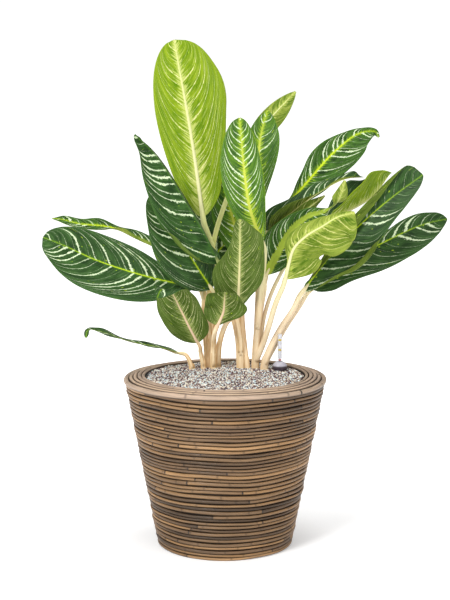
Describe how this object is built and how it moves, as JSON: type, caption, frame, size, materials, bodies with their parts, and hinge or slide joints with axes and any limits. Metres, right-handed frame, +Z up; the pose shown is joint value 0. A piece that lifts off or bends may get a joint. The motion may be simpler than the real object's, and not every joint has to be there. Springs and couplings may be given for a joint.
{
  "type": "potted_plant",
  "caption": "Chinese evergreen with mottled dark and lime leaves in a tapered rattan drypot with clay granulate and a water gauge",
  "frame": {"origin": "floor point under the middle of the pot", "axes": "+Z up, -Y towards the viewer of the plant's front, +X to that viewer's right"},
  "size_m": [0.711, 0.3673, 0.8634],
  "materials": {
    "rattan_cane": "brown rattan canes, weathered matt",
    "rattan_rim": "paler taupe rattan canes",
    "plywood_board": "raw plywood",
    "black_plastic": "matt black moulded",
    "granulate_stones": "dry mixed clay granulate in cream, grey and brown-purple",
    "grey_plastic": "grey moulded, satin",
    "clear_plastic": "clear plastic tube",
    "red_plastic": "red moulded",
    "ivory_stalk": "smooth ivory plant stalk",
    "lime_leaf": "satin lime green leaf",
    "dark_leaf": "satin dark green leaf with pale stripes",
    "olive_leaf": "dull olive underside of a leaf"
  },
  "bodies": {
    "root": {"base_board": "plywood_board", "cane_wall": "rattan_cane", "cane_rim": "rattan_rim", "liner": "black_plastic", "granulate": "granulate_stones", "gauge_collar": "grey_plastic", "gauge_tube": "clear_plastic", "gauge_float": "red_plastic", "shoot_far_left": "ivory_stalk", "shoot_low_left": "ivory_stalk", "shoot_left": "ivory_stalk", "shoot_front": "ivory_stalk", "shoot_front_inner": "ivory_stalk", "shoot_middle": "ivory_stalk", "shoot_right_middle": "ivory_stalk", "shoot_right": "ivory_stalk", "leaf_tall": "lime_leaf", "leaf_left_upper": "dark_leaf", "leaf_left_middle": "dark_leaf", "leaf_left_thin": "dark_leaf", "leaf_left_broad": "dark_leaf", "leaf_low_left": "olive_leaf", "leaf_low_front": "olive_leaf", "leaf_front_olive": "olive_leaf", "leaf_centre": "dark_leaf", "leaf_centre_back": "dark_leaf", "leaf_back_pale": "olive_leaf", "leaf_right_upper": "dark_leaf", "leaf_right_long": "olive_leaf", "leaf_right_olive": "olive_leaf", "leaf_right_pale": "lime_leaf", "leaf_right_inner": "dark_leaf", "leaf_right_lime": "lime_leaf", "leaf_right_rolled": "dark_leaf", "leaf_right_lower": "dark_leaf", "leaf_low_left_thin": "dark_leaf", "leaf_inner_upper": "dark_leaf", "leaf_inner_small": "dark_leaf", "leaf_inner_back": "dark_leaf"}
  },
  "joints": []
}
